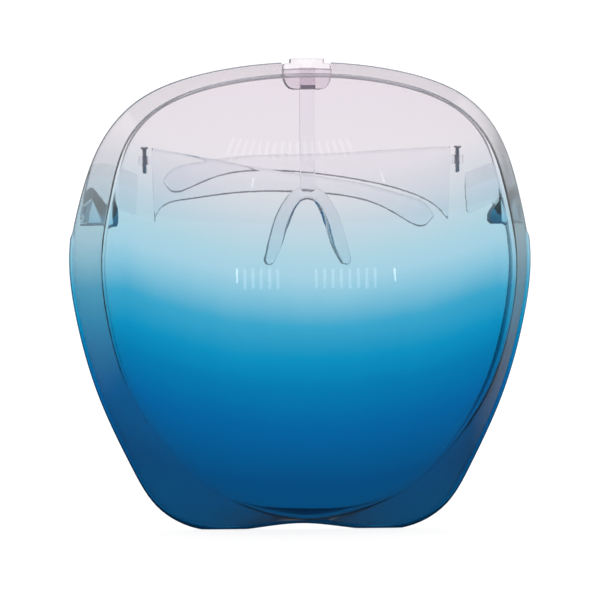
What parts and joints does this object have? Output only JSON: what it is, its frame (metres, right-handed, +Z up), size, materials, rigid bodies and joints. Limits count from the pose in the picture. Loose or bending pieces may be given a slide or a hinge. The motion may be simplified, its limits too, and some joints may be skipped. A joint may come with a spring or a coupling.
{
  "type": "face shield",
  "caption": "Domed full-face shield worn like spectacles, tint fading from clear brow to deep blue chin, with folding temples and a clipped-in nose bridge.",
  "frame": {"origin": "in the nose saddle, where the wearer's nose meets the inside of the bridge's apex", "axes": "+X to the wearer's left, +Y from the front of the dome towards the face, +Z up"},
  "size_m": [0.19, 0.09, 0.1937],
  "materials": {
    "tinted_shell": "polished tinted polycarbonate, clear at the brow and deep blue at the chin",
    "tinted_socket": "polished tinted polycarbonate",
    "clear_plastic": "polished clear polycarbonate",
    "screw_metal": "bright"
  },
  "bodies": {
    "shield": {"shield_shell": "tinted_shell", "hinge_socket_left": "tinted_socket", "hinge_socket_right": "tinted_socket", "hinge_bracket_left": "clear_plastic", "hinge_bracket_right": "clear_plastic", "hinge_screws": "screw_metal", "rim_clip": "clear_plastic"},
    "nose_piece": {"nose_bridge": "clear_plastic"},
    "left_arm": {"temple_left": "clear_plastic"},
    "right_arm": {"temple_right": "clear_plastic"}
  },
  "joints": [
    {"name": "left_temple_hinge", "type": "hinge", "parent": "shield", "child": "left_arm", "pos_m": [0.0645, 0.034, 0.0158], "axis": [0, 0, 1], "range_deg": [-91, 0]},
    {"name": "right_temple_hinge", "type": "hinge", "parent": "shield", "child": "right_arm", "pos_m": [-0.0645, 0.034, 0.0158], "axis": [0, 0, 1], "range_deg": [0, 95.55]},
    {"name": "nose_bridge_slide", "type": "slide", "parent": "shield", "child": "nose_piece", "axis": [0, 0, 1], "range_m": [-0.005, 0.001]}
  ],
  "couplings": [
    {"joint": "right_temple_hinge", "follows": "left_temple_hinge", "ratio": -1.05}
  ]
}
